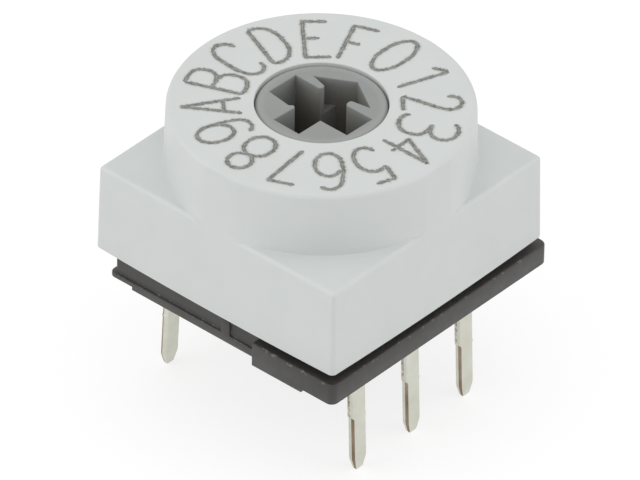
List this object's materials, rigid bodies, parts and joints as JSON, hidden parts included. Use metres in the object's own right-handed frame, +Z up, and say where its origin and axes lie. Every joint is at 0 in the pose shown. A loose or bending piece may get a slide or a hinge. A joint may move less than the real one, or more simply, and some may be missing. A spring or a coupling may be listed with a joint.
{
  "type": "rotary coded switch",
  "caption": "Board-mounted rotary coded switch: a square housing with a round dial, an arrow-slotted rotor and two rows of through-hole terminals.",
  "frame": {"origin": "middle of the seating plane, which is the underside of the base and rests on the printed board", "axes": "+Z up along the rotor's axis, +X where the arrow points in the first position, -Y the side with the front row of terminals"},
  "size_m": [0.0102, 0.0101, 0.0108],
  "materials": {
    "housing_plastic": "fine satin moulding",
    "base_plastic": "fine satin moulding",
    "rotor_plastic": "matt moulding",
    "tinned_brass": "matt tin plating",
    "gold_plated_bronze": "thin gold plating",
    "spring_steel": "bright rolled strip",
    "board_laminate": "glass-filled laminate",
    "seal_rubber": "smooth moulded rubber"
  },
  "bodies": {
    "switch_body": {"housing": "housing_plastic", "base": "base_plastic", "terminal_1": "tinned_brass", "terminal_2": "tinned_brass", "terminal_4": "tinned_brass", "terminal_8": "tinned_brass", "terminal_common_front": "tinned_brass", "terminal_common_back": "tinned_brass", "common_link": "tinned_brass", "contact_spring_1": "gold_plated_bronze", "contact_spring_2": "gold_plated_bronze", "contact_spring_4": "gold_plated_bronze", "contact_spring_8": "gold_plated_bronze", "contact_spring_common": "gold_plated_bronze", "rotor_seal": "seal_rubber"},
    "rotor": {"rotor": "rotor_plastic", "detent_spring": "spring_steel", "coded_disc": "board_laminate", "code_track": "gold_plated_bronze"}
  },
  "joints": [
    {"name": "rotor_turn", "type": "hinge", "parent": "switch_body", "child": "rotor", "pos_m": [0, 0, 0], "axis": [0, 0, 1], "continuous": true, "deforming": ["detent_spring"]}
  ]
}
